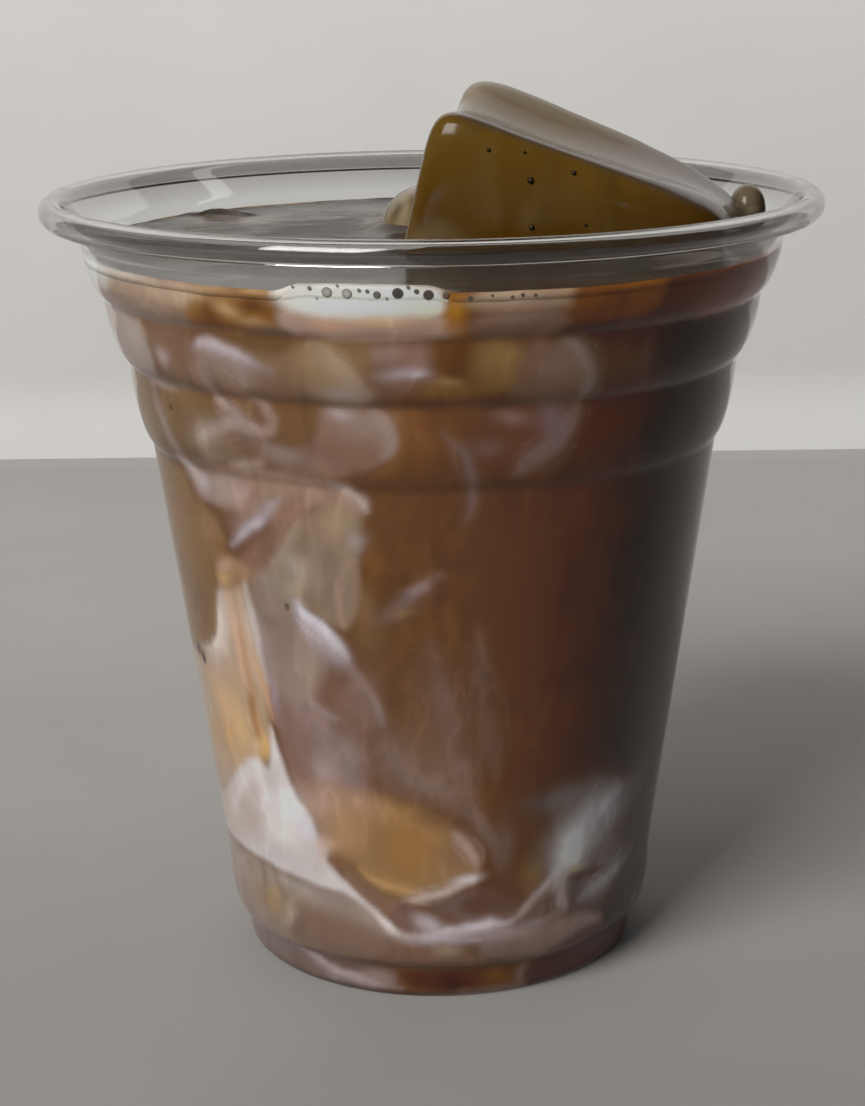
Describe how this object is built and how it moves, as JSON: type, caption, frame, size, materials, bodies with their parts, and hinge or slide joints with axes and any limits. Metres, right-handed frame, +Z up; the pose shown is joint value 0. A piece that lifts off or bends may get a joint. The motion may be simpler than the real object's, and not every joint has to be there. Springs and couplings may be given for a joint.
{
  "type": "iced coffee",
  "caption": "Iced milk coffee in a clear tapered disposable cup with a rolled rim and bulged tiers, with ice standing out of the drink.",
  "frame": {"origin": "centre of the cup's foot, on the surface it stands on", "axes": "+Z up along the cup's axis; +X to the right of the shown side; the shown side faces -Y"},
  "size_m": [0.098, 0.098, 0.1112],
  "materials": {
    "clear_plastic": "clear thermoformed PET, glossy",
    "milk_coffee": "coffee with swirled milk, wet and glossy",
    "ice": "wet ice stained by coffee, glossy"
  },
  "bodies": {
    "root": {"cup": "clear_plastic", "drink": "milk_coffee", "ice_large": "ice", "ice_left": "ice", "ice_right": "ice"}
  },
  "joints": []
}
